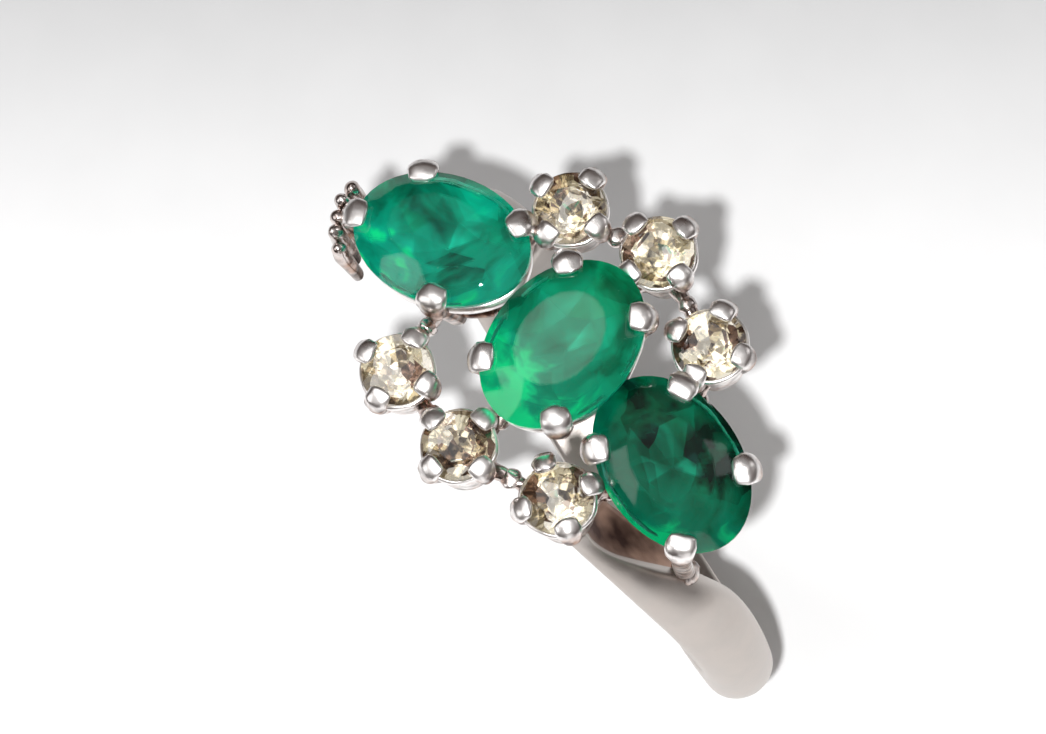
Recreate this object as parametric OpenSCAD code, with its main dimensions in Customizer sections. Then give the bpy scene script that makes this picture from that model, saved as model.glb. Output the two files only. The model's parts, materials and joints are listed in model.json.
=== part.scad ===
// Cocktail ring: three oval stones in a leaning row, six small round stones beside
// them, open four-claw settings joined by short wires, and a D-section band whose
// shoulders sweep sideways up into the head.
// Millimetres. The finger hole runs along Y, the head is at +Z, and the origin is
// the middle of the finger hole.

/* [Finger hole] */

// Radius of the round finger hole
hole_r = 9.15; // [7:0.05:11]

/* [Band] */

// Width of the band along the finger
band_w = 2.6; // [1.6:0.1:5]
// Thickness of the flat sides of the band
band_side = 0.55; // [0.3:0.05:1.5]
// Height of the band's rounded outer face above its flat sides
band_dome = 1.2; // [0.3:0.05:2]
// Bevel between the finger hole and the sides of the band
band_bevel = 0.18; // [0.05:0.01:0.4]

/* [Shoulders] */

// Angle above the horizontal at which each shoulder ends
tip_angle = 62; // [54:1:68]
// How far the right shoulder sweeps sideways by its tip
right_sweep = 2.0; // [0:0.05:3]
// How far the left shoulder sweeps the other way by its tip
left_sweep = 0.7; // [0:0.05:3]
// Width of each shoulder's outer face at its tip
tip_w = 0.8; // [0.5:0.05:2]
// Sweep of the foot of each shoulder's sloping side, as a multiple of the shoulder's own
foot_sweep = 1.1; // [0:0.05:1.5]
// How much further from the finger hole's centre the tips are than the band
tip_rise = 2.05; // [1:0.05:3]
// Height of a tip's rounded outer face
tip_dome = 0.35; // [0.1:0.05:1]

/* [Oval stones] */

// Length of the two end stones
end_l = 7.0; // [5:0.1:10]
// Width of the two end stones
end_w = 5.0; // [3.5:0.1:8]
// Length of the middle stone
mid_l = 6.9; // [5:0.1:10]
// Width of the middle stone
mid_w = 5.25; // [3.5:0.1:8]
// Height of an oval stone's crown above its girdle
oval_crown = 0.85; // [0.4:0.05:1.6]
// Depth of an oval stone below its girdle
oval_depth = 2.0; // [1:0.05:3.2]
// Centre of the left end stone's girdle
left_at = [-6.05, -1.37, 12.1]; // [-16:0.01:16]
// Centre of the middle stone's girdle
mid_at = [0.13, 0.26, 13.3]; // [-16:0.01:16]
// Centre of the right end stone's girdle
right_at = [5.75, 1.32, 12.1]; // [-16:0.01:16]
// Turn of the left end stone's long axis from +X
left_turn = 32; // [-180:1:180]
// Turn of the middle stone's long axis from +X
mid_turn = 108; // [-180:1:180]
// Turn of the right end stone's long axis from +X
right_turn = 3; // [-180:1:180]
// Outward lean of the two end stones
end_lean = 9; // [0:0.5:20]

/* [Round stones] */

// Diameter of a round stone
round_d = 2.7; // [1.8:0.05:4]
// Height of a round stone's crown above its girdle
round_crown = 0.4; // [0.2:0.02:0.9]
// Depth of a round stone below its girdle
round_depth = 1.2; // [0.6:0.05:2]
// Girdle centre of the round stone behind the left end stone
back_1_at = [-4.44, 3.15, 12.3]; // [-16:0.01:16]
// Girdle centre of the round stone behind the middle stone
back_2_at = [-1.2, 4.97, 12.5]; // [-16:0.01:16]
// Girdle centre of the round stone behind the right end stone
back_3_at = [2.74, 4.76, 12.3]; // [-16:0.01:16]
// Girdle centre of the round stone in front of the left end stone
front_1_at = [-2.63, -5.25, 12.3]; // [-16:0.01:16]
// Girdle centre of the round stone in front of the middle stone
front_2_at = [1.06, -4.82, 12.5]; // [-16:0.01:16]
// Girdle centre of the round stone in front of the right end stone
front_3_at = [4.64, -2.81, 12.3]; // [-16:0.01:16]

/* [Settings] */

// Width of the two rails of an oval setting
rail_w = 0.46; // [0.3:0.01:0.8]
// Height of the two rails of an oval setting
rail_h = 0.5; // [0.3:0.01:0.9]
// How far the upper rail lies inside the stone's outline
rail_in = 0.12; // [0:0.01:0.4]
// How far the lower rail lies inside the stone's outline
foot_in = 0.75; // [0.3:0.01:1.2]
// Depth of the top of the lower rail below the girdle of an oval stone
rail_drop = 2.3; // [1.6:0.05:3.2]
// Radius of an oval setting's claws
claw_r = 0.36; // [0.25:0.01:0.6]
// Radius of the bead at the end of an oval setting's claws
bead_r = 0.47; // [0.3:0.01:0.8]
// Length of the claw that goes on down into each shoulder, from the girdle
leg_l = 5.6; // [4:0.05:7]
// Height of a round setting's cup
cup_h = 1.75; // [1:0.05:2.5]
// Radius of a round setting's cup at its top
cup_top_r = 1.46; // [1:0.01:2.2]
// Radius of a round setting's cup at its foot
cup_foot_r = 1.12; // [0.8:0.01:2]
// Radius of the bead at the end of a round setting's claws
pin_bead_r = 0.4; // [0.2:0.01:0.6]
// Radius of the wires that join the settings
link_r = 0.3; // [0.2:0.01:0.5]

/* [Hidden] */

$fn = 48;
TINY = 0.01;

// Stone outline
girdle = 0.2;
table_part = 0.58;
star_part = 0.28;
girdle_dip = 0.6;
half_part = 0.3;

// Shoulders
front_curve = 1.7;
back_curve = 2.2;
back_end = 60;
foot_curve = 1.5;
rise_from = 25;
rise_curve = 1.6;
wall_curve = 1.3;
sections = 22;
edge_points = 10;
wall_points = 3;
bore_margin = 0.06;

// Settings
seat_drop = 0.545;
claw_out = 0.12;
claw_top = 0.3;
claw_foot_in = 0.8;
claw_below = 0.1;
bead_in = 0.02;
bead_z = 0.36;
pin_r = 0.3;
pin_at = 1.4;
pin_part = 0.5;
pin_top = 0.45;
pin_bead_in = 0.1;
pin_bead_z = 0.27;
cup_top = -0.2;
cup_bore_r = 0.78;
link_part = 0.62;
link_bite = 0.12;
rib_r = 0.36;
rib_out = 0.42;
rib_top = 0.7;

LEFT = 0;
MID = 1;
RIGHT = 2;
OVALS = [
    [left_at, left_turn, -end_lean, end_l / 2, end_w / 2],
    [mid_at, mid_turn, 0, mid_l / 2, mid_w / 2],
    [right_at, right_turn, end_lean, end_l / 2, end_w / 2]
];

// Claw directions round each oval stone, from its long axis
CLAWS = [
    [41, 122, 192, 286],
    [45, 133, 226, 318],
    [60, 127, 235, 322]
];

// Directions of the ribs round the left stone, and the claw between them
RIBS = [171, 181, 203, 213];
RIB_CLAW = 192;

// The claw of each end setting that goes down into a shoulder
LEG_LEFT = 122;
LEG_RIGHT = 322;

ROUNDS = [back_1_at, back_2_at, back_3_at, front_1_at, front_2_at, front_3_at];

// Turn of each round setting
ROUND_TURN = [20, 8, 35, 28, 12, 78];

METAL = [0.86, 0.85, 0.83];
GREEN = [0.05, 0.5, 0.3];
PALE = [0.93, 0.9, 0.8];

// ---- Small helpers ----

function smooth(t) = let (s = min(max(t, 0), 1)) s * s * (3 - 2 * s);

function turned(p, a) = [p.x * cos(a) - p.y * sin(a), p.x * sin(a) + p.y * cos(a), p.z];

function leaned(p, a) = [p.x * cos(a) + p.z * sin(a), p.y, p.z * cos(a) - p.x * sin(a)];

// A point of an oval setting's own frame, put in its place on the ring
function on_ring(o, p) = o[0] + leaned(turned(p, o[1]), o[2]);

// A point on an oval outline, grown by g, in the direction a from its long axis
function outline(o, a, g, z) = [(o[3] + g) * cos(a), (o[4] + g) * sin(a), z];

module place(o) {
    translate(o[0])
        rotate([0, o[2], 0])
            rotate([0, 0, o[1]])
                children();
}

// A round wire from p to q
module wire(p, q, r) {
    d = q - p;
    translate(p)
        rotate([0, acos(d.z / norm(d)), atan2(d.y, d.x)])
            cylinder(r = r, h = norm(d));
}

// ---- Shank ----

// Section of the shank as [radius, distance along Y]: from the hole's radius ri, flat
// sides up to rf and a rounded face of the height h over them between y0 and y1. The
// side at y1 slopes, with its foot at yf.
function section(ri, rf, h, y0, y1, yf) =
    concat(
        [
            [ri, y0 + band_bevel],
            [ri, yf - band_bevel]
        ],
        [for (k = [0:wall_points - 1])
            let (t = k / wall_points)
            [ri + band_bevel + (rf - ri - band_bevel) * t, y1 + (yf - y1) * pow(1 - t, wall_curve)]
        ],
        [for (k = [0:edge_points])
            let (a = 180 * k / edge_points)
            [rf + h * sin(a), (y0 + y1) / 2 + (y1 - y0) / 2 * cos(a)]
        ],
        [[ri + band_bevel, y0]]
    );

// The edges along Y of a shoulder that sweeps by s, at the angle a above the
// horizontal: the front edge, the back edge of its outer face and the foot of its
// sloping side
function shoulder_front(s, a) = -band_w / 2 - s * pow(a / tip_angle, front_curve);

function shoulder_back(s, a) =
    band_w / 2 - (band_w + s - tip_w) * smooth(pow(a / back_end, back_curve));

function shoulder_foot(s, a) = band_w / 2 - foot_sweep * s * pow(a / tip_angle, foot_curve);

// How far the outer face has risen off the band, from 0 on the band to 1 at its tip
function rise(a) = pow(max(0, (a - rise_from) / (tip_angle - rise_from)), rise_curve);

// Height of the rounded outer face, in proportion to its width
function dome(w) = tip_dome + (band_dome - tip_dome) * (w - tip_w) / (band_w - tip_w);

function shoulder_section(s, a) =
    let (y0 = shoulder_front(s, a))
    let (y1 = shoulder_back(s, a))
    let (rf = hole_r + band_side + tip_rise * rise(a))
    let (ri = hole_r - (a > 0 ? bore_margin : 0))
    [for (p = section(ri, rf, dome(min(y1 - y0, band_w)), y0, y1, shoulder_foot(s, a)))
        [p[0] * cos(a), p[1], p[0] * sin(a)]
    ];

// A point well inside the shoulder's section
function shoulder_middle(s, a) =
    let (r = hole_r + band_side)
    [r * cos(a), shoulder_front(s, a) + tip_w / 2, r * sin(a)];

module shoulder(s) {
    n = edge_points + wall_points + 4;
    last = n * sections;
    middles = n * (sections + 1);
    points = concat(
        [for (i = [0:sections]) each shoulder_section(s, tip_angle * i / sections)],
        [shoulder_middle(s, 0), shoulder_middle(s, tip_angle)]
    );
    sides = [for (i = [0:sections - 1]) for (j = [0:n - 1]) each [
        [i * n + j, (i + 1) * n + (j + 1) % n, (i + 1) * n + j],
        [i * n + j, i * n + (j + 1) % n, (i + 1) * n + (j + 1) % n]
    ]];
    start = [for (j = [0:n - 1]) [(j + 1) % n, j, middles]];
    finish = [for (j = [0:n - 1]) [last + j, last + (j + 1) % n, middles + 1]];
    polyhedron(points, concat(sides, start, finish));
}

module band_half_turn() {
    rotate([90, 0, 0])
        rotate([0, 0, 180])
            rotate_extrude(angle = 180)
                polygon(section(
                    hole_r, hole_r + band_side, band_dome, -band_w / 2, band_w / 2, band_w / 2
                ));
}

module shank() {
    color(METAL)
    difference() {
        union() {
            band_half_turn();
            shoulder(right_sweep);
            rotate([0, 0, 180])
                shoulder(left_sweep);
        }
        rotate([90, 0, 0])
            cylinder(r = hole_r, h = 4 * band_w, center = true);
        post(LEFT, LEG_LEFT, -rail_drop);
        post(RIGHT, LEG_RIGHT, -rail_drop);
        cup_body(back_1_at);
        cup_body(front_3_at);
    }
}

// ---- Stones ----

// A cut stone: table, eight stars, eight kites, upper halves, girdle, lower halves and
// eight mains to a point, at unit radius and stretched to a by b
module cut_stone(a, b, crown, depth) {
    g = girdle / 2;
    top = crown - g;
    deep = depth - g;
    mid_r = table_part + (1 - table_part) * star_part;
    mid_z = g + top * (1 - mid_r * cos(22.5)) / (1 - table_part);
    low_r = half_part;
    low_z = -g - deep * (1 - low_r * cos(22.5));
    chord = cos(11.25);
    dip_top = (mid_z - g) / (chord - mid_r * chord) * (1 - chord);
    dip_low = (-low_z - g) / (chord - low_r * chord) * (1 - chord);
    points = concat(
        [for (i = [0:7]) [a * table_part * cos(45 * i), b * table_part * sin(45 * i), crown]],
        [for (i = [0:7])
            [a * mid_r * cos(45 * i + 22.5), b * mid_r * sin(45 * i + 22.5), mid_z]],
        [for (i = [0:31])
            [a * cos(11.25 * i), b * sin(11.25 * i), i % 2 == 0 ? g : g - min(dip_top, g * girdle_dip)]],
        [for (i = [0:31])
            [a * cos(11.25 * i), b * sin(11.25 * i), i % 2 == 0 ? -g : -g + min(dip_low, g * girdle_dip)]],
        [for (i = [0:7])
            [a * low_r * cos(45 * i + 22.5), b * low_r * sin(45 * i + 22.5), low_z]],
        [[0, 0, -depth]]
    );
    M = 8;
    G = 16;
    L = 48;
    P = 80;
    C = 88;
    faces = concat(
        [[for (i = [7:-1:0]) i]],
        [for (i = [0:7]) [i, (i + 1) % 8, M + i]],
        [for (i = [0:7]) each [
            [i, M + i, G + 4 * i],
            [i, G + 4 * i, M + (i + 7) % 8],
            [M + i, G + 4 * i + 1, G + 4 * i],
            [M + i, G + 4 * i + 2, G + 4 * i + 1],
            [M + i, G + 4 * i + 3, G + 4 * i + 2],
            [M + i, G + (4 * i + 4) % 32, G + 4 * i + 3]
        ]],
        [for (i = [0:31]) each [
            [G + i, G + (i + 1) % 32, L + (i + 1) % 32],
            [G + i, L + (i + 1) % 32, L + i]
        ]],
        [for (i = [0:7]) each [
            [P + i, L + 4 * i, L + 4 * i + 1],
            [P + i, L + 4 * i + 1, L + 4 * i + 2],
            [P + i, L + 4 * i + 2, L + 4 * i + 3],
            [P + i, L + 4 * i + 3, L + (4 * i + 4) % 32],
            [C, L + 4 * i, P + i],
            [C, P + (i + 7) % 8, L + 4 * i]
        ]]
    );
    polyhedron(points, faces);
}

module oval_stone(i) {
    place(OVALS[i])
        cut_stone(OVALS[i][3], OVALS[i][4], oval_crown, oval_depth);
}

module round_stone(i) {
    translate(ROUNDS[i])
        rotate([0, 0, ROUND_TURN[i] + 22.5])
            cut_stone(round_d / 2, round_d / 2, round_crown, round_depth);
}

// ---- Oval settings ----

// A flat oval strip: half axes a and b to its outer edge, width w, from z0 up to z1
module oval_strip(a, b, w, z0, z1) {
    translate([0, 0, z0])
        linear_extrude(z1 - z0)
            difference() {
                scale([a, b])
                    circle(1);
                scale([a - w, b - w])
                    circle(1);
            }
}

// A rail of oval setting i, which lies this far in from the stone's outline
module rail(i, in, top) {
    o = OVALS[i];
    place(o)
        oval_strip(o[3] - in, o[4] - in, rail_w, top - rail_h, top);
}

module upper_rail(i) {
    rail(i, rail_in, -seat_drop);
}

module lower_rail(i) {
    rail(i, foot_in, -rail_drop);
}

// Whether the claw of oval i at the angle a goes on down into a shoulder
function is_leg(i, a) = (i == LEFT && a == LEG_LEFT) || (i == RIGHT && a == LEG_RIGHT);

// The straight post of a claw, which leans in to the lower rail or is a leg
module post(i, a, top) {
    o = OVALS[i];
    foot = is_leg(i, a)
        ? outline(o, a, claw_out, -leg_l)
        : outline(o, a, -claw_foot_in, -rail_drop - rail_h - claw_below);
    place(o)
        wire(foot, outline(o, a, claw_out, top), claw_r);
}

// One claw: its post and the bead pressed over the girdle
module claw(i, a) {
    o = OVALS[i];
    post(i, a, claw_top);
    place(o)
        translate(outline(o, a, -bead_in, bead_z))
            sphere(r = bead_r);
}

module oval_setting(i) {
    upper_rail(i);
    lower_rail(i);
    difference() {
        for (a = CLAWS[i])
            claw(i, a);
        oval_stone(i);
    }
}

// ---- Round settings ----

module cup_body(at) {
    translate(at + [0, 0, cup_top - cup_h])
        cylinder(r1 = cup_foot_r, r2 = cup_top_r, h = cup_h);
}

// The room that a round stone takes: its outline turned about its axis
module round_room() {
    rotate_extrude()
        polygon([
            [0, -round_depth],
            [round_d / 2, -girdle / 2],
            [round_d / 2, girdle / 2],
            [round_d / 2 * table_part, round_crown],
            [0, round_crown]
        ]);
}

module cup_setting(i) {
    translate(ROUNDS[i])
        rotate([0, 0, ROUND_TURN[i]])
            difference() {
                union() {
                    cup_body([0, 0, 0]);
                    for (q = [0:3])
                        rotate([0, 0, 90 * q]) {
                            translate([pin_at, 0, cup_top - pin_part * cup_h])
                                cylinder(r = pin_r, h = pin_part * cup_h + pin_top);
                            translate([pin_at - pin_bead_in, 0, pin_bead_z])
                                sphere(r = pin_bead_r);
                        }
                }
                translate([0, 0, cup_top - cup_h - TINY])
                    cylinder(r = cup_bore_r, h = cup_h);
                round_room();
            }
}

// ---- Wires between the settings ----

// Where a wire meets the lower rail of oval i, going towards the point p
function rail_point(i, p) =
    let (o = OVALS[i])
    let (d = p - o[0])
    let (a = atan2(d.y, d.x) - o[1])
    let (ha = o[3] - foot_in)
    let (hb = o[4] - foot_in)
    let (r = ha * hb / norm([hb * cos(a), ha * sin(a)]) - link_bite)
    on_ring(o, [r * cos(a), r * sin(a), -rail_drop - rail_h / 2]);

// Where a wire meets the wall of cup i, going towards the point p
function cup_point(i, p) =
    let (d = p - ROUNDS[i])
    let (u = [d.x, d.y, 0] / norm([d.x, d.y, 0]))
    ROUNDS[i] + u * (cup_foot_r - link_bite) + [0, 0, cup_top - link_part * cup_h];

module oval_to_oval(i, j) {
    wire(rail_point(i, OVALS[j][0]), rail_point(j, OVALS[i][0]), link_r);
}

module oval_to_cup(i, j) {
    wire(rail_point(i, ROUNDS[j]), cup_point(j, OVALS[i][0]), link_r);
}

module cup_to_cup(i, j) {
    wire(cup_point(i, ROUNDS[j]), cup_point(j, ROUNDS[i]), link_r);
}

module gallery_wires() {
    color(METAL) {
        oval_to_oval(LEFT, MID);
        oval_to_oval(MID, RIGHT);
        oval_to_cup(LEFT, 0);
        oval_to_cup(MID, 1);
        oval_to_cup(RIGHT, 2);
        oval_to_cup(LEFT, 3);
        oval_to_cup(MID, 4);
        oval_to_cup(RIGHT, 5);
        cup_to_cup(0, 1);
        cup_to_cup(1, 2);
        cup_to_cup(3, 4);
        cup_to_cup(4, 5);
    }
}

// ---- Ribbed end piece ----

// A row of upright round-topped ribs outside the outer end of the left setting
module end_ribs() {
    o = OVALS[LEFT];
    color(METAL)
    difference() {
        for (a = RIBS)
            place(o) {
                wire(outline(o, a, rib_out, -rail_drop), outline(o, a, rib_out, -rib_top), rib_r);
                translate(outline(o, a, rib_out, -rib_top))
                    sphere(r = rib_r);
            }
        upper_rail(LEFT);
        claw(LEFT, RIB_CLAW);
    }
}

// ---- Nodes ----

module setting_left() {
    color(METAL)
        oval_setting(LEFT);
}

module setting_middle() {
    color(METAL)
        oval_setting(MID);
}

module setting_right() {
    color(METAL)
        oval_setting(RIGHT);
}

module cup_back_1() {
    color(METAL)
        cup_setting(0);
}

module cup_back_2() {
    color(METAL)
        cup_setting(1);
}

module cup_back_3() {
    color(METAL)
        cup_setting(2);
}

module cup_front_1() {
    color(METAL)
        cup_setting(3);
}

module cup_front_2() {
    color(METAL)
        cup_setting(4);
}

module cup_front_3() {
    color(METAL)
        cup_setting(5);
}

module stone_left() {
    color(GREEN)
        oval_stone(LEFT);
}

module stone_middle() {
    color(GREEN)
        oval_stone(MID);
}

module stone_right() {
    color(GREEN)
        oval_stone(RIGHT);
}

module round_back_1() {
    color(PALE)
        round_stone(0);
}

module round_back_2() {
    color(PALE)
        round_stone(1);
}

module round_back_3() {
    color(PALE)
        round_stone(2);
}

module round_front_1() {
    color(PALE)
        round_stone(3);
}

module round_front_2() {
    color(PALE)
        round_stone(4);
}

module round_front_3() {
    color(PALE)
        round_stone(5);
}

shank();
setting_left();
setting_middle();
setting_right();
cup_back_1();
cup_back_2();
cup_back_3();
cup_front_1();
cup_front_2();
cup_front_3();
gallery_wires();
end_ribs();
stone_left();
stone_middle();
stone_right();
round_back_1();
round_back_2();
round_back_3();
round_front_1();
round_front_2();
round_front_3();
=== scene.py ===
"""Looks of the cocktail ring: worn white metal, cut stones, a pale floor and soft studio light."""

import json
import math

import bmesh
import bpy
import numpy as np
from mathutils import Matrix, Vector, noise


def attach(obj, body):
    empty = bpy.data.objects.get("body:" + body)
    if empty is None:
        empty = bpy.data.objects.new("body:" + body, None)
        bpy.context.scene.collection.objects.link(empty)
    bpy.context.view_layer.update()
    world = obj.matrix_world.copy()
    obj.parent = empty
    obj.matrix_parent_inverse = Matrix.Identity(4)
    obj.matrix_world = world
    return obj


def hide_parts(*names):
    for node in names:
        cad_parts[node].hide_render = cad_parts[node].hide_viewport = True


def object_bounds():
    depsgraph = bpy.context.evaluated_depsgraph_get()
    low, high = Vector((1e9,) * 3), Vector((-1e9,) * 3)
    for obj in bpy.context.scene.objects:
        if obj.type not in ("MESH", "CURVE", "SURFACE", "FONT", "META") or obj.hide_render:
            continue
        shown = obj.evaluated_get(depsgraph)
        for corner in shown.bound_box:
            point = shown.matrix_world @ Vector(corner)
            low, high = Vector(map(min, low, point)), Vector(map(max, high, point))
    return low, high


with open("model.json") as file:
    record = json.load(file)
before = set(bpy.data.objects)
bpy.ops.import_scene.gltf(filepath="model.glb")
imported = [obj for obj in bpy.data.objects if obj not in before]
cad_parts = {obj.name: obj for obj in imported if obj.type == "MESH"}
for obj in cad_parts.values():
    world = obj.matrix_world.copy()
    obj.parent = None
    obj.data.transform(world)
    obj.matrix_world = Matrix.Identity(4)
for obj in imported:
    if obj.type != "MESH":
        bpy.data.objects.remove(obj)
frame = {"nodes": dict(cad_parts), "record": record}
cad_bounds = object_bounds()

MM = 0.001

# Shank, in millimetres and degrees above the horizontal through the finger hole
HOLE_R = frame["record"]["mounts"][0]["dims"]["r_mm"]
BAND_W = 2.6
BAND_SIDE = 0.55
BAND_DOME = 1.2
BAND_BEVEL = 0.2
TIP_ANGLE = 62
TIP_W = 0.8
TIP_RISE = 2.05
TIP_DOME = 0.35
FACE_FLAT = 0.55
FACE_FLAT_AT = 48
BACK_END = 60
RISE_FROM = 25
RIGHT_SWEEP = 2.0
LEFT_SWEEP = 0.7
FOOT_SWEEP = 1.3

# Powers that shape how the shoulders' edges, wall and height change
FRONT_CURVE = 1.7
BACK_CURVE = 2.2
FOOT_CURVE = 1.5
WALL_CURVE = 1.3
RISE_CURVE = 1.6

# Points along each side of a section, and sections round each half of the shank
HOLE_POINTS = 7
WALL_POINTS = 10
DOME_POINTS = 29
SHANK_STEPS = 120

# Rounding of the hole's edges, and how fast the painted shade mark on the shoulder's sloping wall grows
# with its width
HOLE_EDGE_UP = 0.06
HOLE_EDGE_IN = 0.05
SLOPE_MARK = 4

# Cut stones: each ring of facet corners is a part of the stone's half sizes, a part of its crown or
# depth, a number of corners and a turn in corner spacings. A girdle is half its height and its corners.
OVAL_CUT = {"crown": [(0.56, 1, 16, 0), (0.80, 0.62, 16, 0.5)], "girdle": (0.1, 48),
            "depth": [(0.74, 0.45, 8, 0.5), (0.4, 0.8, 8, 0)], "soften": 0.025}
ROUND_CUT = {"crown": [(0.55, 1, 8, 0), (0.76, 0.68, 8, 0.5)], "girdle": (0.06, 32),
             "depth": [(0.35, 0.78, 8, 0.5)], "soften": 0.01}
GIRDLE_NEAR = 0.01
FLAT_ANGLE = 0.6
BACK_BELOW = 0.12

# Oval settings
RAIL_W = 0.46
RAIL_H = 0.5
RAIL_IN = 0.12
RAIL_TOP = -0.545
FOOT_RAIL_IN = 0.75
FOOT_RAIL_TOP = -2.3
RAIL_ROUND = 0.3
RAIL_STEPS = 96
# Painted shade marks of the upper and lower rails, from 0 to 1; the lower rail is darkened fully
UPPER_RAIL_MARK = 0.2
LOWER_RAIL_MARK = 1
CLAW_OUT = 0.12
CLAW_END_STEPS = 6
CLAW_END_REACH = 1.3
CLAW_END_SIZE = 0.01
TUBE_SIDES = 20

# Hand-worked unevenness: a seed that makes every run alike, the size of its waves, and how far it
# moves a point
UNEVEN_SEED = 1
SHANK_RIPPLE = (3.0, 0.015)
RAIL_RIPPLE = (0.9, 0.03)
CUP_RIPPLE = (0.7, 0.06)
SOLDER_RIPPLE = (0.22, 0.12)
CLAW_RIPPLE = (0.5, 0.06)
WIRE_RIPPLE = (0.5, 0.12)
GRAIN_RIPPLE = (0.5, 0.14)

# How a claw is recognised in a CAD setting
BEAD_BELOW_TOP = 0.15
BEAD_APART = 0.6
FOOT_ABOVE_LOWEST = 0.05
LONG_LEG_BELOW = -4
LONG_LEG_REACH = 1

# Shade marks say how much painted shade and dark reflection a point gets, from 0 to 1: most in hollows and
# low down, none on the tops.
# Courses of claws: distance out from the stone's outline, height, half thickness, half width, shade mark
SHORT_LEG_COURSE = [
    (-0.8, -2.9, 0.3, 0.34, 0.6), (-0.52, -1.9, 0.3, 0.34, 0.6), (-0.25, -1.0, 0.31, 0.35, 0.65)]
OVAL_CLAW_COURSE = [
    (0.1, -0.35, 0.32, 0.40, 0.8), (0.17, 0.0, 0.31, 0.46, 0.75), (0.16, 0.26, 0.27, 0.53, 0.5),
    (0.04, 0.45, 0.25, 0.58, 0), (-0.16, 0.54, 0.19, 0.58, 0), (-0.42, 0.55, 0.14, 0.50, 0)]
CUP_CLAW_COURSE = [
    (-0.2, -1.3, 0.22, 0.26, 0.6), (0.05, -0.6, 0.27, 0.32, 0.6), (0.14, -0.15, 0.29, 0.38, 0.7),
    (0.14, 0.12, 0.28, 0.44, 0.5), (0.02, 0.32, 0.22, 0.48, 0), (-0.24, 0.38, 0.15, 0.44, 0)]

# Outline of a round cup: radius, height, shade mark (painted shade, heaviest inside and underneath)
CUP_STEPS = 64
CUP_PROFILE = [
    (0.78, -1.95, 1), (1.08, -1.96, 1), (1.15, -1.9, 0.6), (1.2, -1.5, 0.45), (1.34, -0.6, 0.45),
    (1.43, -0.28, 0.3), (1.42, -0.16, 0), (1.33, -0.1, 0), (1.26, -0.14, 0.4), (1.12, -0.4, 1),
    (0.8, -0.9, 1), (0.78, -1.4, 1)]

# Ribs at the outer end of the left setting
RIB_TURN = 10.5
RIB_STAGGER = 0.15
RIB_COURSE = [(0.5, -2.3, 0.24, 0.3, 0.6), (0.58, -1.4, 0.27, 0.32, 0.6), (0.66, -0.6, 0.32, 0.32, 0.5)]

# Solder and joining wires
SOLDER_R = 0.56
SOLDER_LIFT = 0.75
SOLDER_SQUASH = 0.9
SOLDER_STEPS = 12
SOLDER_SIDES = 24
SOLDER_POLE = 0.02
WIRE_R = 0.27
WIRE_ARCH = 0.4
WIRE_STEPS = 14
WIRE_SWELL = 0.55
GRAIN_R = 0.4
GRAIN_REACH = 0.34
GRAIN_STEPS = 10
GRAIN_POLE = 6
# Painted shade marks of the solder, the wires and their grains, from 0 to 1
SOLDER_MARK = 0.55
WIRE_MARK = 0.5
GRAIN_MARK = 0.35

# Camera and light
CAMERA_AIM = Vector((-0.225, -1.35, 12.37)) * MM
CAMERA_FROM = Vector((0.3073, -0.0294, 0.9513))
CAMERA_RIGHT = Vector((0.5055, 0.8516, -0.137))
CAMERA_DISTANCE = 308.4 * MM
CAMERA_LENS = 295
CAMERA_SENSOR = 36
CAMERA_CLIP = (0.01, 10)
FLOOR_Z = cad_bounds[0][2]
FLOOR_HALF = 0.6
# Painted shade on the floor: the direction it darkens towards, and the distances where it starts and ends
FADE_SIDE = (-0.84, 0.54)
FADE_RANGE = (2 * MM, 22 * MM)
# The side of the green stones whose backs get painted light and glow
PAINTED_GLOW_SIDE = Vector((0.34, -0.93, -0.14))

# Lights: distance from the ring, diameter and power, in metres and watts
LIGHTS = {
    "key": (0.5, 0.014, 2.15),
    "table_glare": (0.3, 0.2, 0.13),
    "soft_left": (0.3, 0.18, 0.12),
    "soft_right": (0.3, 0.14, 0.05),
    "soft_side": (0.32, 0.2, 0.09),
}
WORLD_STRENGTH = 0.34
WORLD_STOPS = [(0.0, (0.05, 0.028, 0.022)), (0.35, (0.13, 0.085, 0.07)), (0.6, (0.42, 0.36, 0.34)),
               (0.9, (0.78, 0.76, 0.75))]


# ---- Measuring the CAD stones and settings ----

def node_points(node):
    """The distinct corners of a CAD node's mesh, in millimetres."""
    corners = np.array([vertex.co for vertex in frame["nodes"][node].data.vertices]) / MM
    return np.unique(corners.round(4), axis=0)


class StonePlace:
    """Where a CAD stone sits: girdle centre, axes and half sizes, in millimetres."""

    def __init__(self, node):
        points = node_points(node)
        middle = points.mean(0)
        _, axes = np.linalg.eigh(np.cov((points - middle).T))
        up = axes[:, 0] * np.sign(axes[2, 0])
        along = axes[:, 2]
        across = np.cross(up, along)
        self.axes = np.array([along, across, up])
        local = (points - middle) @ self.axes.T
        low, high = local.min(0), local.max(0)
        rim = local[local[:, 0] > high[0] - GIRDLE_NEAR]
        shift = np.array([(low[0] + high[0]) / 2, (low[1] + high[1]) / 2, rim[:, 2].mean()])
        self.centre = middle + shift @ self.axes
        self.a, self.b = (high[0] - low[0]) / 2, (high[1] - low[1]) / 2
        self.crown, self.depth = high[2] - shift[2], shift[2] - low[2]

    def local(self, points):
        """Points of the row frame, in this stone's own frame."""
        return (np.asarray(points) - self.centre) @ self.axes.T

    def matrix(self):
        """The stone's own frame, in millimetres, placed in the row frame, in metres."""
        turn = Matrix([[self.axes[j][i] for j in range(3)] for i in range(3)]).to_4x4()
        return Matrix.Scale(MM, 4) @ Matrix.Translation(Vector(self.centre)) @ turn


def group_points(points, reach):
    """The middles of the clusters that points fall into."""
    groups = []
    for point in points:
        near = [g for g in groups if np.linalg.norm(np.mean(g, axis=0) - point) < reach]
        if near:
            near[0].append(point)
        else:
            groups.append([point])
    return [np.mean(g, axis=0) for g in groups]


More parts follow.
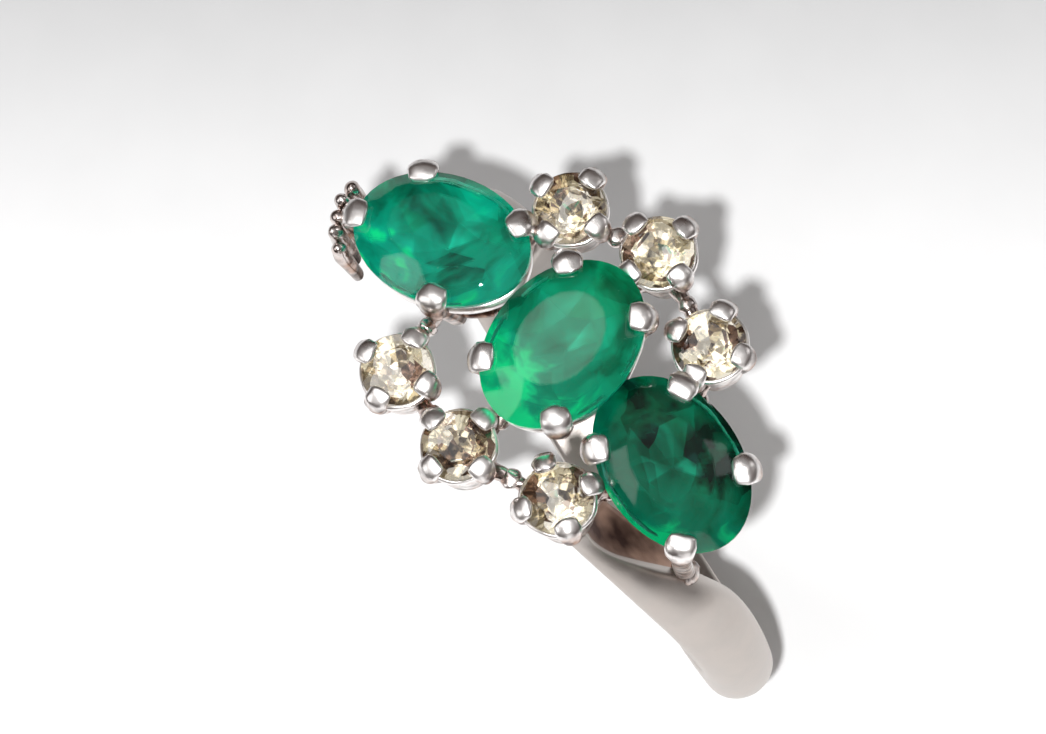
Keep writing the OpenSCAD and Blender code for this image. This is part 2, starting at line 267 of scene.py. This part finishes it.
def claws_of(node, place):
    """Each claw of a CAD setting: its point on the stone's outline, and the height of a long leg's foot."""
    local = place.local(node_points(node))
    top = local[:, 2].max()
    foot = local[:, 2].min()
    deepest = local[local[:, 2] < foot + FOOT_ABOVE_LOWEST][:, :2].mean(0)
    claws = []
    for bead in group_points([p[:2] for p in local if p[2] > top - BEAD_BELOW_TOP], BEAD_APART):
        rim = bead / np.hypot(bead[0] / place.a, bead[1] / place.b)
        is_leg = foot < LONG_LEG_BELOW and np.linalg.norm(deepest - rim) < LONG_LEG_REACH
        claws.append((Vector((*rim, 0)), foot if is_leg else None))
    return claws


# ---- Building meshes ----

def place_piece(name, mesh, replaces):
    """Puts a finished mesh in the place of its CAD nodes, riding on the ring's only body."""
    piece = bpy.data.objects.new(name, mesh)
    bpy.context.scene.collection.objects.link(piece)
    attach(piece, "root")
    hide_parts(*replaces)


def add_metal_piece(name, parts, material, node, matrix=Matrix.Scale(MM, 4)):
    """A smooth metal piece from points in millimetres."""
    mesh = bpy.data.meshes.new(name)
    mesh.from_pydata([matrix @ Vector(v) for v in parts.verts], [], parts.faces)
    # The shade mark says where the metal gets painted shade and dark reflection
    mesh.attributes.new("shade_mark", "FLOAT", "POINT").data.foreach_set("value", parts.shade_mark)
    mesh.polygons.foreach_set("use_smooth", [True] * len(mesh.polygons))
    mesh.materials.append(material)
    place_piece(name, mesh, (node,))


def grid_faces(rows, columns, first, close_rows):
    """Quads over rows of points that each close on themselves."""
    faces = []
    for i in range(rows if close_rows else rows - 1):
        j = (i + 1) % rows
        for k in range(columns):
            m = (k + 1) % columns
            faces.append((first + i * columns + k, first + i * columns + m,
                          first + j * columns + m, first + j * columns + k))
    return faces


def uneven(point, size, amount):
    """A small hand-worked shift of a point, in millimetres."""
    return noise.noise_vector(Vector(point) / size) * amount


class MeshParts:
    """Points and faces of one piece, gathered from several shapes."""

    def __init__(self):
        self.verts = []
        self.faces = []
        self.shade_mark = []

    def add_rows(self, rows, marks, close_rows=False):
        """Joins rows of points. marks says how much painted shade and dark reflection each point gets, from
        0 to 1.
        """
        first = len(self.verts)
        columns = len(rows[0])
        self.verts += [point for row in rows for point in row]
        self.shade_mark += [mark for row in marks for mark in row]
        self.faces += grid_faces(len(rows), columns, first, close_rows)
        if not close_rows:
            last = first + (len(rows) - 1) * columns
            self.faces.append(tuple(first + k for k in reversed(range(columns))))
            self.faces.append(tuple(last + k for k in range(columns)))

    def add_tube(self, path, sizes, side, ripple, marks):
        """A tube along a path. sizes holds its half thickness and half width at each point."""
        rows = []
        for i, point in enumerate(path):
            ahead = (path[min(i + 1, len(path) - 1)] - path[max(i - 1, 0)]).normalized()
            side = (side - side.dot(ahead) * ahead).normalized()
            other = ahead.cross(side)
            thick, wide = sizes[i]
            row = []
            for k in range(TUBE_SIDES):
                t = 2 * math.pi * k / TUBE_SIDES
                p = point + side * math.cos(t) * thick + other * math.sin(t) * wide
                row.append(p + uneven(p, *ripple))
            rows.append(row)
        self.add_rows(rows, [[mark] * TUBE_SIDES for mark in marks])


# ---- Materials ----

def fill_ramp(ramp, stops):
    """Sets the stops of a colour ramp, as (position, colour)."""
    for _ in range(len(stops) - 2):
        ramp.elements.new(0.5)
    for element, (position, color) in zip(ramp.elements, stops):
        element.position = position
        element.color = (*color, 1)


class Nodes:
    """A short way to write a material's node tree."""

    def __init__(self, name):
        self.material = bpy.data.materials.new(name)
        self.material.use_nodes = True
        self.tree = self.material.node_tree
        self.shader = self.tree.nodes["Principled BSDF"]

    def add(self, kind, inputs=None, **settings):
        node = self.tree.nodes.new(kind)
        for key, value in settings.items():
            setattr(node, key, value)
        for key, value in (inputs or {}).items():
            self.feed(node.inputs[key], value)
        return node

    def feed(self, socket, value):
        if isinstance(value, bpy.types.NodeSocket):
            self.tree.links.new(value, socket)
        else:
            socket.default_value = value

    def set(self, **values):
        for key, value in values.items():
            self.feed(self.shader.inputs[key.replace("_", " ")], value)

    def ramp(self, factor, stops):
        node = self.add("ShaderNodeValToRGB", {"Fac": factor})
        fill_ramp(node.color_ramp, stops)
        return node.outputs["Color"]

    def math(self, operation, *values):
        return self.add("ShaderNodeMath", dict(enumerate(values)), operation=operation).outputs[0]

    def point(self):
        return self.add("ShaderNodeTexCoord").outputs["Object"]

    def stored(self, name):
        """A value that is stored on each point of the piece."""
        return self.add("ShaderNodeAttribute", attribute_name=name).outputs["Fac"]

    def cells(self, scale):
        """A different value from 0 to 1 in each of many small cells."""
        colors = self.add("ShaderNodeTexVoronoi", {"Vector": self.point(), "Scale": scale}).outputs["Color"]
        return self.add("ShaderNodeSeparateColor", {"Color": colors}).outputs[0]

    def noise(self, scale, detail, rough=0.5, distortion=0.0):
        node = self.add("ShaderNodeTexNoise", {
            "Vector": self.point(), "Scale": scale, "Detail": detail, "Roughness": rough,
            "Distortion": distortion})
        return node.outputs["Fac"]

    def map_range(self, value, low, high, to_low, to_high):
        node = self.add("ShaderNodeMapRange", {
            "Value": value, "From Min": low, "From Max": high, "To Min": to_low, "To Max": to_high})
        return node.outputs["Result"]

    def mix(self, factor, first, second):
        node = self.add("ShaderNodeMix", data_type="RGBA")
        self.feed(node.inputs["Factor"], factor)
        self.feed(node.inputs[6], first)
        self.feed(node.inputs[7], second)
        return node.outputs[2]

    def bump(self, height, distance, strength=1.0, normal=None):
        inputs = {"Height": height, "Distance": distance, "Strength": strength}
        if normal:
            inputs["Normal"] = normal
        return self.add("ShaderNodeBump", inputs).outputs["Normal"]


def worn_metal(name, light, dark, rough_low, rough_high, ripple, shade_scale=2600, grain_height=0.004):
    """White metal: uneven polish, a fine grain, soft ripples, and brown painted shade and dark reflection
    wherever its shade mark is high.
    """
    n = Nodes(name)
    cloud = n.noise(900, 4)
    grain = n.noise(14000, 2)
    clean = n.ramp(cloud, [(0.3, dark), (0.7, light)])
    # Painted shade and dark reflection, in browns broken up by noise, laid on by the shade mark
    painted_shade = n.ramp(n.noise(shade_scale, 3), [(0.38, (0.055, 0.025, 0.018)), (0.62, (0.42, 0.26, 0.19))])
    amount = n.math("ADD", n.stored("shade_mark"), n.noise(0.8 * shade_scale, 3))
    amount = n.map_range(amount, 0.75, 1.25, 0, 1)
    n.set(Base_Color=n.mix(amount, clean, painted_shade),
          Metallic=1.0,
          Roughness=n.map_range(cloud, 0.3, 0.7, rough_low, rough_high))
    soft = n.bump(n.noise(1300, 2), ripple * MM, 1.0)
    n.set(Normal=n.bump(grain, grain_height * MM, 0.5, soft))
    return n.material


def green_glass():
    """Green paste, slightly uneven."""
    n = Nodes("green_glass")
    n.set(Base_Color=(0.13, 0.93, 0.74, 1), Roughness=0.03, IOR=1.57, Transmission_Weight=1.0)
    n.set(Normal=n.bump(n.noise(450, 1), 0.01 * MM, 0.4))
    return n.material


def green_back(name, dark, mid, bright):
    """The backs of a green stone, seen through it: cloudy, lightened by painted light along one edge, and
    given a painted glow where they are brightest.
    """
    n = Nodes(name)
    cloud = n.map_range(n.noise(380, 3, 0.55, 1.2), 0.33, 0.67, 0, 0.48)
    facet = n.map_range(n.cells(620), 0, 1, -0.12, 0.22)
    # Painted light: the edge away from the light is lightened
    level = n.math("ADD", n.math("MULTIPLY_ADD", n.stored("painted_glow"), 0.8, cloud), facet)
    n.set(Base_Color=n.ramp(level, [(0.05, dark), (0.35, mid), (0.6, mid), (0.85, bright)]),
          # Painted glow: the brightest parts shine by themselves, in place of light passing through the
          # stone
          Emission_Color=n.ramp(level, [(0.3, (0, 0, 0)), (0.6, mid), (0.8, bright)]),
          Emission_Strength=0.3, Metallic=0.4, Roughness=0.15)
    return n.material


def pale_glass():
    """Clear paste with a warm tint."""
    n = Nodes("pale_glass")
    n.set(Base_Color=(0.99, 0.97, 0.92, 1), Roughness=0.01, IOR=1.65, Transmission_Weight=1.0)
    n.set(Normal=n.bump(n.noise(800, 1), 0.004 * MM, 0.5))
    return n.material


def pale_back():
    """The foiled backs of the round stones, broken up into small bright and dark facets, the brightest of
    them with a painted glow that stands in for glints.
    """
    n = Nodes("pale_back")
    level = n.cells(1900)
    n.set(Base_Color=n.ramp(level, [(0.1, (0.22, 0.14, 0.11)), (0.3, (0.62, 0.54, 0.42)),
                                    (0.6, (0.93, 0.87, 0.68)), (0.8, (1.0, 0.98, 0.94))]),
          # Painted glints: the brightest facets shine by themselves
          Emission_Color=n.ramp(level, [(0.6, (0, 0, 0)), (0.72, (0.7, 0.64, 0.45)),
                                        (0.9, (1.0, 0.98, 0.93))]),
          Emission_Strength=0.35, Metallic=1.0, Roughness=0.06)
    return n.material


def floor_material():
    """Pale paper, darkened by painted shade towards its far side, where the light falls off."""
    n = Nodes("floor")
    place = n.add("ShaderNodeSeparateXYZ", {"Vector": n.point()}).outputs
    away = n.math("MULTIPLY_ADD", place["Y"], FADE_SIDE[1], n.math("MULTIPLY", place["X"], FADE_SIDE[0]))
    # Painted shade: a falloff of the light, darker towards the far side
    painted_falloff = n.map_range(away, *FADE_RANGE, 0, 1)
    grain = n.map_range(n.noise(300, 2), 0.3, 0.7, -0.02, 0.02)
    n.set(Base_Color=n.ramp(n.math("ADD", painted_falloff, grain), [
        (0.0, (0.97, 0.975, 0.98)), (0.45, (0.9, 0.905, 0.91)), (1.0, (0.62, 0.625, 0.63))]),
          Roughness=0.9)
    return n.material


# The band's metal is a darker copy of the claws' white metal: painted shade that dims the satin band
SHADED_BAND_METAL = worn_metal("shaded_band_metal", (0.58, 0.53, 0.495), (0.52, 0.48, 0.45), 0.34, 0.44, 0.01,
                        shade_scale=500, grain_height=0.012)
CLAW_METAL = worn_metal("claw_metal", (0.99, 0.96, 0.94), (0.93, 0.89, 0.87), 0.24, 0.38, 0.04)
WIRE_METAL = worn_metal("wire_metal", (0.94, 0.90, 0.88), (0.78, 0.70, 0.67), 0.15, 0.3, 0.05)
GREEN_GLASS = green_glass()
# Lighter and darker copies of one green back, one per stone: painted light and shade, the left stone's
# lightest and the right stone's darkest
GREEN_BACKS = {
    "left": green_back("green_back_left", (0.0, 0.11, 0.095), (0.005, 0.53, 0.41), (0.01, 1.0, 0.44)),
    "middle": green_back("green_back_middle", (0.003, 0.13, 0.095), (0.012, 0.4, 0.27), (0.01, 0.92, 0.42)),
    "right": green_back("green_back_right", (0.0, 0.015, 0.012), (0.005, 0.26, 0.17), (0.01, 0.85, 0.36)),
}
PALE_GLASS = pale_glass()
PALE_BACK = pale_back()


# ---- Shank ----

def smooth_step(t):
    t = min(max(t, 0), 1)
    return t * t * (3 - 2 * t)


def shoulder_edges(angle, sweep):
    """The edges of the right shoulder along Y: front, back of the outer face, foot of the slope."""
    part = max(angle, 0) / TIP_ANGLE
    front = -BAND_W / 2 - sweep * part ** FRONT_CURVE
    end = -BAND_W / 2 - sweep + TIP_W
    back = BAND_W / 2 + (end - BAND_W / 2) * smooth_step((max(angle, 0) / BACK_END) ** BACK_CURVE)
    foot = BAND_W / 2 - FOOT_SWEEP * sweep * part ** FOOT_CURVE
    return front, back, foot


def section_outline(angle, sweep):
    """One section of the right half of the shank, as (radius, distance along Y, painted shade mark)."""
    front, back, foot = shoulder_edges(angle, sweep)
    rise = max(0, (angle - RISE_FROM) / (TIP_ANGLE - RISE_FROM)) ** RISE_CURVE
    flank = HOLE_R + BAND_SIDE + TIP_RISE * rise
    dome = TIP_DOME + (BAND_DOME - TIP_DOME) * (min(back - front, BAND_W) - TIP_W) / (BAND_W - TIP_W)
    # Painted shade and dark reflection on the shoulder's sloping wall, stronger where the wall is wider
    slope = min(max((foot - back) * SLOPE_MARK, 0), 1)
    low, corner = HOLE_R + BAND_BEVEL, HOLE_R + HOLE_EDGE_UP
    heights = [low + (flank - low) * k / WALL_POINTS for k in range(WALL_POINTS)]
    hole_w = foot - front - 2 * BAND_BEVEL
    inside = [(HOLE_R, front + BAND_BEVEL + hole_w * k / (HOLE_POINTS - 1), 0) for k in range(HOLE_POINTS)]
    back_side = [(r, back + (foot - back) * (1 - k / WALL_POINTS) ** WALL_CURVE, slope)
                 for k, r in enumerate(heights)]
    flatness = 1 - FACE_FLAT * smooth_step(angle / FACE_FLAT_AT)
    outside = []
    for k in range(DOME_POINTS):
        t = math.pi * k / (DOME_POINTS - 1)
        outside.append((flank + dome * abs(math.sin(t)) ** flatness,
                        (front + back) / 2 + (back - front) / 2 * math.cos(t), 0))
    front_side = [(r, front, 0) for r in reversed(heights)]
    return (inside + [(corner, foot - HOLE_EDGE_IN, slope)] + back_side + outside + front_side
            + [(corner, front + HOLE_EDGE_IN, 0)])


def shank_section(angle, side, sweep):
    """The points and painted shade marks of a section. side is -1 on the left half, which turns back to
    front.
    """
    outline = section_outline(angle, sweep)
    turn = math.radians(angle)
    points = [Vector((side * r * math.cos(turn), side * y, r * math.sin(turn))) for r, y, _ in outline]
    marks = [mark for _, _, mark in outline]
    if side > 0:
        return points, marks
    last = HOLE_POINTS - 1
    return points[last::-1] + points[:last:-1], marks[last::-1] + marks[:last:-1]


def build_shank():
    angles = [TIP_ANGLE - (TIP_ANGLE + 90) * i / SHANK_STEPS for i in range(SHANK_STEPS + 1)]
    sections = [shank_section(a, -1, LEFT_SWEEP) for a in angles]
    sections += [shank_section(a, 1, RIGHT_SWEEP) for a in reversed(angles[:-1])]
    parts = MeshParts()
    parts.add_rows([[p + uneven(p, *SHANK_RIPPLE) for p in points] for points, _ in sections],
                   [marks for _, marks in sections])
    add_metal_piece("band_and_shoulders", parts, SHADED_BAND_METAL, "shank")


# ---- Stones ----

def ring_points(place, factor, height, count, phase=0.0):
    """Points round the stone, at a part of its half sizes."""
    turns = [2 * math.pi * (k + phase) / count for k in range(count)]
    return [Vector((place.a * factor * math.cos(t), place.b * factor * math.sin(t), height)) for t in turns]


def glow_values(mesh, place):
    """How near each point of a stone is to the edge away from the light, from 0 to 1: this edge gets
    painted light and glow.
    """
    size = place.a * MM
    centre = Vector(place.centre) * MM
    return [min(max((vertex.co - centre).dot(PAINTED_GLOW_SIDE) / size, 0), 1) for vertex in mesh.vertices]


def cut_points(place, cut):
    """The facet corners of a cut stone, from its table down to the point of its back."""
    points = []
    for factor, part, count, phase in cut["crown"]:
        points += ring_points(place, factor, place.crown * part, count, phase)
    girdle, count = cut["girdle"]
    for height in (girdle, -girdle):
        points += ring_points(place, 1.0, height, count)
    for factor, part, count, phase in cut["depth"]:
        points += ring_points(place, factor, -place.depth * part, count, phase)
    return points + [Vector((0, 0, -place.depth))]


def build_gem(name, node, cut, glass, back):
    """A cut stone as the hull of its facet corners, with its back set to another material."""
    place = StonePlace(node)
    shape = bmesh.new()
    for p in cut_points(place, cut):
        shape.verts.new(p)
    bmesh.ops.convex_hull(shape, input=shape.verts)
    bmesh.ops.delete(shape, geom=[v for v in shape.verts if not v.link_faces], context="VERTS")
    bmesh.ops.dissolve_limit(shape, angle_limit=math.radians(FLAT_ANGLE),
                             verts=shape.verts, edges=shape.edges)
    bmesh.ops.bevel(shape, geom=shape.edges[:], offset=cut["soften"], segments=2, affect="EDGES")
    mesh = bpy.data.meshes.new(name)
    shape.transform(place.matrix())
    shape.to_mesh(mesh)
    shape.free()
    mesh.attributes.new("painted_glow", "FLOAT", "POINT").data.foreach_set("value", glow_values(mesh, place))
    mesh.materials.append(glass)
    mesh.materials.append(back)
    down = -Vector(place.axes[2])
    centre = Vector(place.centre) * MM
    for face in mesh.polygons:
        below = (face.center - centre).dot(down) > BACK_BELOW * MM
        face.material_index = 1 if below else 0
    place_piece(name, mesh, (node,))


# ---- Settings ----

def rail_rows(place, inset, top):
    """A strip with rounded edges round the inside of the stone's outline."""
    e = RAIL_W * RAIL_ROUND
    low = top - RAIL_H
    section = [(0, low + e), (0, top - e), (-e, top), (-RAIL_W + e, top), (-RAIL_W, top - e),
               (-RAIL_W, low + e), (-RAIL_W + e, low), (-e, low)]
    rows = []
    for k in range(RAIL_STEPS):
        t = 2 * math.pi * k / RAIL_STEPS
        rim = Vector(((place.a - inset) * math.cos(t), (place.b - inset) * math.sin(t), 0))
        out = outward_at(place, rim)
        rows.append([rim + out * x + Vector((0, 0, z)) + uneven(rim + out * x, *RAIL_RIPPLE)
                     for x, z in section])
    return rows


def outward_at(place, rim):
    """The direction straight out from the stone's outline at a point on it."""
    return Vector((rim.x / place.a ** 2, rim.y / place.b ** 2, 0)).normalized()


def add_claw(parts, place, rim, course):
    """A claw along a course, with a round end."""
    out = outward_at(place, rim)
    path, sizes, marks = [], [], []
    for distance, height, thick, wide, shade_mark in course:
        path.append(rim + out * distance + Vector((0, 0, height)))
        sizes.append((thick, wide))
        marks.append(shade_mark)
    ahead = (path[-1] - path[-2]).normalized()
    tip, (thick, wide) = path[-1], sizes[-1]
    for k in range(1, CLAW_END_STEPS + 1):
        t = math.radians(90 / CLAW_END_STEPS * k)
        path.append(tip + ahead * thick * CLAW_END_REACH * math.sin(t))
        sizes.append((max(thick * math.cos(t), CLAW_END_SIZE), max(wide * math.cos(t), CLAW_END_SIZE)))
        marks.append(marks[-1])
    parts.add_tube(path, sizes, out, CLAW_RIPPLE, marks)


def oval_claw_course(foot):
    """The course of an oval setting's claw. A long leg goes down to foot, and the others lean in."""
    if foot is None:
        return SHORT_LEG_COURSE + OVAL_CLAW_COURSE
    start = [(CLAW_OUT, foot, 0.36, 0.40, 0.6), (CLAW_OUT, foot / 2, 0.34, 0.38, 0.5),
             (CLAW_OUT, -1.4, 0.34, 0.38, 0.6)]
    return start + OVAL_CLAW_COURSE


def add_solder(parts, place, rim, foot):
    """A grainy mound of solder round the foot of a long leg."""
    rows, columns = [], SOLDER_SIDES
    base = rim + outward_at(place, rim) * CLAW_OUT + Vector((0, 0, foot + SOLDER_LIFT))
    for i in range(SOLDER_STEPS + 1):
        t = math.pi * min(max(i / SOLDER_STEPS, SOLDER_POLE), 1 - SOLDER_POLE)
        row = []
        for k in range(columns):
            a = 2 * math.pi * k / columns
            ball = (math.sin(t) * math.cos(a), math.sin(t) * math.sin(a), -SOLDER_SQUASH * math.cos(t))
            row.append(base + Vector(ball) * SOLDER_R)
        rows.append([p + uneven(p, *SOLDER_RIPPLE) for p in row])
    parts.add_rows(rows, [[SOLDER_MARK] * columns] * len(rows))


def build_oval_setting(side):
    node = f"setting_{side}"
    place = StonePlace(f"stone_{side}")
    parts = MeshParts()
    for inset, top, mark in ((RAIL_IN, RAIL_TOP, UPPER_RAIL_MARK),
                             (FOOT_RAIL_IN, FOOT_RAIL_TOP, LOWER_RAIL_MARK)):
        rows = rail_rows(place, inset, top)
        parts.add_rows(rows, [[mark] * len(row) for row in rows], close_rows=True)
    for rim, foot in claws_of(node, place):
        add_claw(parts, place, rim, oval_claw_course(foot))
        if foot is not None:
            add_solder(parts, place, rim, foot)
    add_metal_piece(f"{side}_oval_setting", parts, CLAW_METAL, node, place.matrix())


def build_end_ribs():
    """A compact row of worn ribs against the outer end of the left setting."""
    place = StonePlace("stone_left")
    ribs = place.local(node_points("end_ribs"))
    middle = Vector((*ribs[:, :2].mean(0), 0))
    turn = math.atan2(middle.y / place.b, middle.x / place.a)
    parts = MeshParts()
    for k in range(-2, 3):
        t = turn + math.radians(RIB_TURN * k)
        rim = Vector((place.a * math.cos(t), place.b * math.sin(t), 0))
        top = (0.66, -0.1 + RIB_STAGGER * (k % 2), 0.3, 0.3, 0.4)
        add_claw(parts, place, rim, RIB_COURSE + [top])
    add_metal_piece("left_end_ribs", parts, WIRE_METAL, "end_ribs", place.matrix())


def wire_ends(node):
    """The two ends of each separate wire of a CAD node, in millimetres."""
    shape = bmesh.new()
    shape.from_mesh(frame["nodes"][node].data)
    bmesh.ops.remove_doubles(shape, verts=shape.verts, dist=0.001 * MM)
    left = list(shape.verts)
    ends = []
    while left:
        reached, group = {left[0]}, [left[0]]
        for vertex in group:
            for edge in vertex.link_edges:
                near = edge.other_vert(vertex)
                if near not in reached:
                    reached.add(near)
                    group.append(near)
        left = [vertex for vertex in left if vertex not in reached]
        points = np.array([vertex.co for vertex in group]) / MM
        middle = points.mean(0)
        axis = np.linalg.eigh(np.cov((points - middle).T))[1][:, 2]
        along = (points - middle) @ axis
        ends.append((Vector(middle + axis * along.min()), Vector(middle + axis * along.max())))
    shape.free()
    return ends


def build_wires():
    """Hand-bent joining wires, arched a little and thickened by solder, with a grain on each."""
    parts = MeshParts()
    for first, last in wire_ends("gallery_wires"):
        path, sizes = [], []
        for k in range(WIRE_STEPS + 1):
            t = k / WIRE_STEPS
            size = WIRE_R * (1 + WIRE_SWELL * abs(2 * t - 1) ** 3)
            path.append(first.lerp(last, t) + Vector((0, 0, WIRE_ARCH * math.sin(math.pi * t))))
            sizes.append((size, size))
        parts.add_tube(path, sizes, Vector((0, 0, 1)), WIRE_RIPPLE, [WIRE_MARK] * len(path))
        turns = [math.radians(min(max(180 / GRAIN_STEPS * k, GRAIN_POLE), 180 - GRAIN_POLE))
                 for k in range(GRAIN_STEPS + 1)]
        course = [path[WIRE_STEPS // 2] - Vector((0, 0, GRAIN_REACH * math.cos(t))) for t in turns]
        sizes = [(GRAIN_R * math.sin(t), GRAIN_R * math.sin(t)) for t in turns]
        parts.add_tube(course, sizes, Vector((1, 0, 0)), GRAIN_RIPPLE, [GRAIN_MARK] * len(turns))
    add_metal_piece("joining_wires", parts, WIRE_METAL, "gallery_wires")


def build_cup(name, node, stone):
    place = StonePlace(stone)
    parts = MeshParts()
    rows = []
    for k in range(CUP_STEPS):
        t = 2 * math.pi * k / CUP_STEPS
        row = [Vector((r * math.cos(t), r * math.sin(t), z)) for r, z, _ in CUP_PROFILE]
        rows.append([p + uneven(p, *CUP_RIPPLE) for p in row])
    parts.add_rows(rows, [[mark for _, _, mark in CUP_PROFILE]] * len(rows), close_rows=True)
    for rim, _ in claws_of(node, place):
        add_claw(parts, place, rim, CUP_CLAW_COURSE)
    add_metal_piece(name, parts, CLAW_METAL, node, place.matrix())


# ---- Stage ----

def build_camera():
    camera = bpy.data.objects.new("camera", bpy.data.cameras.new("camera"))
    bpy.context.scene.collection.objects.link(camera)
    back = CAMERA_FROM.normalized()
    right = (CAMERA_RIGHT - CAMERA_RIGHT.dot(back) * back).normalized()
    up = back.cross(right)
    turn = Matrix((right, up, back)).transposed().to_4x4()
    camera.matrix_world = Matrix.Translation(CAMERA_AIM + back * CAMERA_DISTANCE) @ turn
    camera.data.lens = CAMERA_LENS
    camera.data.sensor_width = CAMERA_SENSOR
    camera.data.clip_start, camera.data.clip_end = CAMERA_CLIP
    bpy.context.scene.camera = camera
    return back, right, up


def add_area_light(name, direction):
    """A round light that stands in one direction from the ring and points at it."""
    distance, size, power = LIGHTS[name]
    place = CAMERA_AIM + direction * distance
    light = bpy.data.lights.new(name, "AREA")
    light.shape = "DISK"
    light.size = size
    light.energy = power
    holder = bpy.data.objects.new(name, light)
    holder.location = place
    holder.rotation_euler = (CAMERA_AIM - place).to_track_quat("-Z", "Y").to_euler()
    bpy.context.scene.collection.objects.link(holder)


def build_world():
    """A studio that is light overhead and warm and dark towards the horizon."""
    world = bpy.data.worlds.new("studio")
    world.use_nodes = True
    tree = world.node_tree
    place = tree.nodes.new("ShaderNodeTexCoord")
    split = tree.nodes.new("ShaderNodeSeparateXYZ")
    ramp = tree.nodes.new("ShaderNodeValToRGB")
    fill_ramp(ramp.color_ramp, WORLD_STOPS)
    tree.links.new(place.outputs["Generated"], split.inputs["Vector"])
    tree.links.new(split.outputs["Z"], ramp.inputs["Fac"])
    tree.links.new(ramp.outputs["Color"], tree.nodes["Background"].inputs["Color"])
    tree.nodes["Background"].inputs["Strength"].default_value = WORLD_STRENGTH
    bpy.context.scene.world = world


def mirror_direction(toward, normal):
    """Where a ray seen from one direction leaves a surface."""
    return 2 * normal.dot(toward) * normal - toward


def light_directions(back, right, up):
    """Where each light stands as seen from the ring, mostly by the camera's own directions."""
    table_up = Vector(StonePlace("stone_middle").axes[2])
    return {
        "key": back - right * 0.055 - up * 0.035,
        "table_glare": mirror_direction(back, table_up) - right * 0.12 - up * 0.16,
        "soft_left": back * 0.5 - right * 0.85 - up * 0.1,
        "soft_right": back * 0.5 + right * 0.8 + up * 0.5,
        "soft_side": Vector((0.93, -0.3, 0.2)),
    }


def build_floor():
    corners = [(-1, -1), (1, -1), (1, 1), (-1, 1)]
    mesh = bpy.data.meshes.new("floor")
    mesh.from_pydata([(x * FLOOR_HALF, y * FLOOR_HALF, FLOOR_Z) for x, y in corners], [], [(0, 1, 2, 3)])
    mesh.materials.append(floor_material())
    floor = bpy.data.objects.new("floor", mesh)
    bpy.context.scene.collection.objects.link(floor)


def build_stage():
    for name, direction in light_directions(*build_camera()).items():
        add_area_light(name, direction)
    build_world()
    bpy.context.scene.view_settings.view_transform = "Standard"
    build_floor()


noise.seed_set(UNEVEN_SEED)
build_shank()
for side in ("left", "middle", "right"):
    build_gem(f"{side}_green_stone", f"stone_{side}", OVAL_CUT, GREEN_GLASS, GREEN_BACKS[side])
    build_oval_setting(side)
for row in ("back", "front"):
    for number in (1, 2, 3):
        build_gem(f"{row}_{number}_pale_stone", f"round_{row}_{number}", ROUND_CUT, PALE_GLASS, PALE_BACK)
        build_cup(f"{row}_{number}_cup", f"cup_{row}_{number}", f"round_{row}_{number}")
build_end_ribs()
build_wires()
build_stage()

scene = bpy.context.scene
scene.cycles.max_bounces = 16
scene.cycles.transmission_bounces = 16
scene.cycles.glossy_bounces = 8
